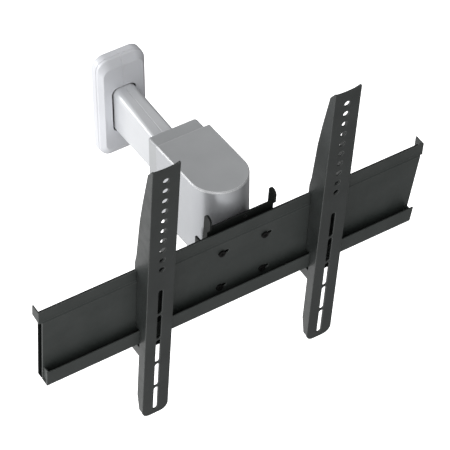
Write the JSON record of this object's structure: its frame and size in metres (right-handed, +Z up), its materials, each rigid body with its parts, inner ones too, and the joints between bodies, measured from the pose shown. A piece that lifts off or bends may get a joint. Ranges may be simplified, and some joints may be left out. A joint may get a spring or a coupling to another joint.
{
  "type": "full motion tv wall mount",
  "caption": "Single-arm full motion wall mount for a television: wall hinge, covered arm, swivel head, tilting cross rail and two slotted uprights.",
  "frame": {"origin": "centre of the wall plate's mounting face, on the wall plane", "axes": "+Z up, +Y into the wall, the mount stands out towards -Y, +X along the wall to the right as seen from the room"},
  "size_m": [0.621, 0.3865, 0.502],
  "materials": {
    "silver_cover": "satin silver paint",
    "grey_cover": "satin grey paint",
    "black_steel": "fine textured black powder coat",
    "black_fastener": "black oxide",
    "zinc": "zinc plated",
    "nylon": "self-lubricating moulded nylon"
  },
  "bodies": {
    "wall_base": {"wall_plate": "black_steel", "hinge_lugs": "black_steel", "hinge_pin": "zinc", "hinge_nut": "zinc", "hinge_washers": "zinc", "cover_clips": "black_steel", "wall_cover_left": "silver_cover", "wall_cover_right": "silver_cover"},
    "arm": {"arm_beam": "black_steel", "arm_bushes": "nylon", "arm_shell_left": "silver_cover", "arm_shell_right": "silver_cover", "arm_spacers": "nylon", "arm_collar": "grey_cover", "housing_shell": "silver_cover", "housing_top_cap": "silver_cover", "housing_base_cover": "grey_cover", "base_screws": "zinc", "swivel_bushes": "nylon"},
    "head": {"swivel_shaft": "black_steel", "swivel_disc_springs": "zinc", "swivel_nut": "zinc", "yoke_screws": "zinc", "swivel_yoke": "black_steel", "tilt_pivot_bolts": "black_fastener", "tilt_lock_bolts": "black_fastener", "tilt_friction_washers": "nylon", "tilt_pivot_nuts": "zinc", "tilt_lock_nuts": "zinc"},
    "tilting_rail": {"tilt_bracket": "black_steel", "rail_face": "black_steel", "rail_back": "black_steel", "rail_bolts": "black_fastener", "rail_nuts": "zinc", "rail_spacers": "zinc"},
    "left_upright": {"upright_left": "black_steel", "lock_plate_left": "black_steel", "lock_screw_left": "black_fastener"},
    "right_upright": {"upright_right": "black_steel", "lock_plate_right": "black_steel", "lock_screw_right": "black_fastener"}
  },
  "joints": [
    {"name": "arm_swivel", "type": "hinge", "parent": "wall_base", "child": "arm", "pos_m": [0, -0.0125, 0], "axis": [0, 0, 1], "range_deg": [-8, 8]},
    {"name": "head_swivel", "type": "hinge", "parent": "arm", "child": "head", "pos_m": [0, -0.271, 0], "axis": [0, 0, 1], "range_deg": [-45, 45]},
    {"name": "tilt", "type": "hinge", "parent": "head", "child": "tilting_rail", "pos_m": [0, -0.3031, -0.0561], "axis": [1, 0, 0], "range_deg": [-5.5, 6.5]},
    {"name": "slide_left", "type": "slide", "parent": "tilting_rail", "child": "left_upright", "axis": [1, 0, 0], "range_m": [-0.13, 0.07]},
    {"name": "slide_right", "type": "slide", "parent": "tilting_rail", "child": "right_upright", "axis": [1, 0, 0], "range_m": [-0.05, 0.13]}
  ]
}
